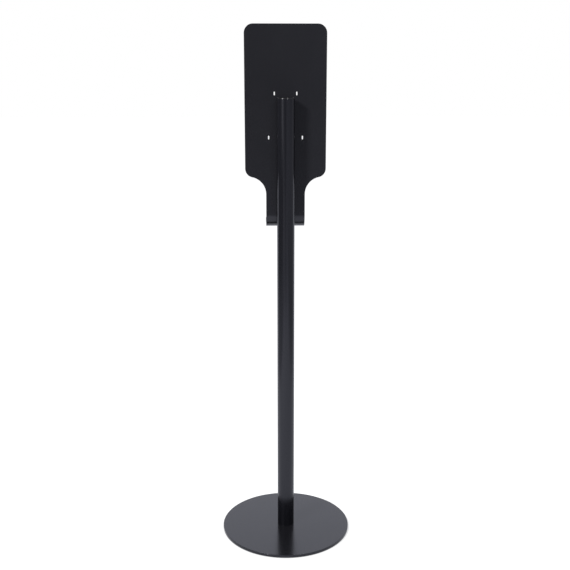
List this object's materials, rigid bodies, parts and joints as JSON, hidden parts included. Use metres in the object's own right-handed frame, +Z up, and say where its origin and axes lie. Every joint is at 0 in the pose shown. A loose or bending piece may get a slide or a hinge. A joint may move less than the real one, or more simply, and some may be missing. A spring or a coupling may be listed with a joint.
{
  "type": "hand sanitizer floor stand",
  "caption": "Floor stand for a wall-type soap or gel dispenser: weighted round disc, tubular post and a folded back plate with slots and a rolled drip shelf.",
  "frame": {"origin": "on the floor, on the axis of the post, at the centre of the round base", "axes": "+Z up along the post, +Y from the post towards the user, through the plate's front face, +X to the right of someone who looks at the stand from behind"},
  "size_m": [0.3859, 0.386, 1.5],
  "materials": {
    "black_powder_coat": "satin",
    "black_plastic": "fine matte",
    "black_rubber": "matte",
    "zinc_plated_steel": "zinc plated",
    "black_screw_steel": "black oxide"
  },
  "bodies": {
    "root": {"base_disc": "black_powder_coat", "floor_pad_1": "black_rubber", "floor_pad_2": "black_rubber", "floor_pad_3": "black_rubber", "floor_pad_4": "black_rubber", "floor_pad_5": "black_rubber", "floor_pad_6": "black_rubber", "post_tube": "black_powder_coat", "post_foot_plug": "zinc_plated_steel", "foot_screw": "zinc_plated_steel", "post_top_cap": "black_plastic", "back_plate": "black_powder_coat", "upper_saddle": "black_plastic", "lower_saddle": "black_plastic", "rivet_nuts": "zinc_plated_steel", "plate_screws": "black_screw_steel"}
  },
  "joints": []
}
